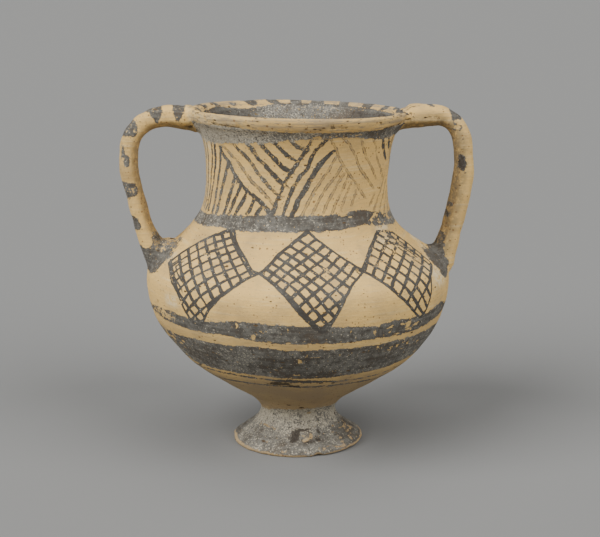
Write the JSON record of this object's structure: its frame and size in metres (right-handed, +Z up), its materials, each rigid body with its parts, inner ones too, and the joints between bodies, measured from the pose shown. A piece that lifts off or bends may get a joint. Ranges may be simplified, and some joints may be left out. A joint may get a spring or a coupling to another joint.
{
  "type": "amphoriskos",
  "caption": "Small two-handled jar of fired clay with a flared mouth, round shoulder, tapering body and conical foot, painted in dark bands and hatched lozenges.",
  "frame": {"origin": "middle of the foot's standing ring, on the surface the jar stands on", "axes": "+Z up the jar's own axis towards the mouth; the two handles stand on -X and +X; the painted front faces -Y"},
  "size_m": [0.159, 0.137, 0.1547],
  "materials": {
    "painted_clay": "matt buff fired clay with dark grey-brown painted bands, hatching and lozenges, worn and pitted"
  },
  "bodies": {
    "root": {"amphoriskos": "painted_clay"}
  },
  "joints": []
}
